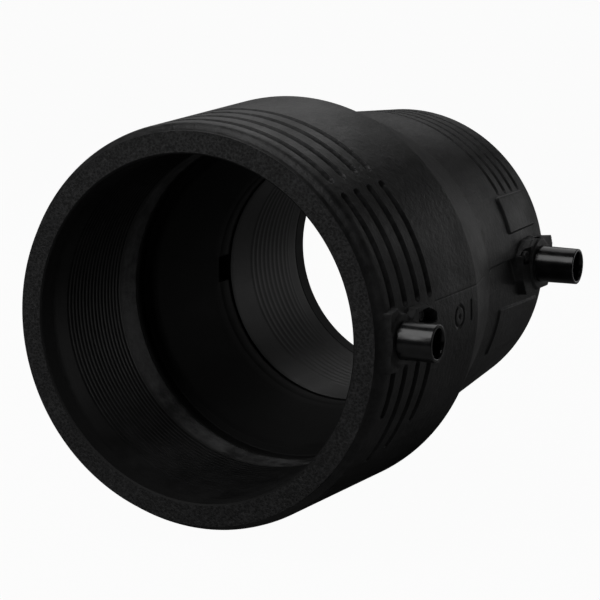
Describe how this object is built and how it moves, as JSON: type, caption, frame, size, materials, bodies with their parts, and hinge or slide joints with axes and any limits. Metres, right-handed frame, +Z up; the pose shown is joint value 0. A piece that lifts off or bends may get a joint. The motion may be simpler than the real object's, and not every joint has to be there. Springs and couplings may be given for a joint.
{
  "type": "electrofusion reducer",
  "caption": "Black plastic pipe reducer with a wound heating wire in each socket, two shrouded terminals and a fusion indicator beside each, for welding a large pipe to a smaller one.",
  "frame": {"origin": "centre of the large socket's mouth, on the pipe axis and in the plane of the end face", "axes": "+Y along the pipe axis from the large socket to the small one, +X out through both terminals, +Z up"},
  "size_m": [0.1457, 0.172, 0.1354],
  "materials": {
    "moulding": "satin moulded black polyethylene with faint flow marks",
    "sleeve": "smooth satin black polyethylene",
    "heating_wire": "drawn copper alloy wire",
    "shroud": "glossy black",
    "contact": "turned brass",
    "indicator": "satin black"
  },
  "bodies": {
    "fitting": {"reducer_body": "moulding", "large_winding_sleeve": "sleeve", "small_winding_sleeve": "sleeve", "large_socket_coil": "heating_wire", "small_socket_coil": "heating_wire", "coil_link_wire": "heating_wire", "large_coil_lead": "heating_wire", "small_coil_lead": "heating_wire", "large_terminal_shroud": "shroud", "small_terminal_shroud": "shroud", "large_terminal_pin": "contact", "small_terminal_pin": "contact"},
    "large_indicator": {"large_fusion_indicator": "indicator"},
    "small_indicator": {"small_fusion_indicator": "indicator"}
  },
  "joints": [
    {"name": "large_indicator_rise", "type": "slide", "parent": "fitting", "child": "large_indicator", "axis": [1, 0, 0], "range_m": [0, 0.0025]},
    {"name": "small_indicator_rise", "type": "slide", "parent": "fitting", "child": "small_indicator", "axis": [1, 0, 0], "range_m": [0, 0.0025]}
  ]
}
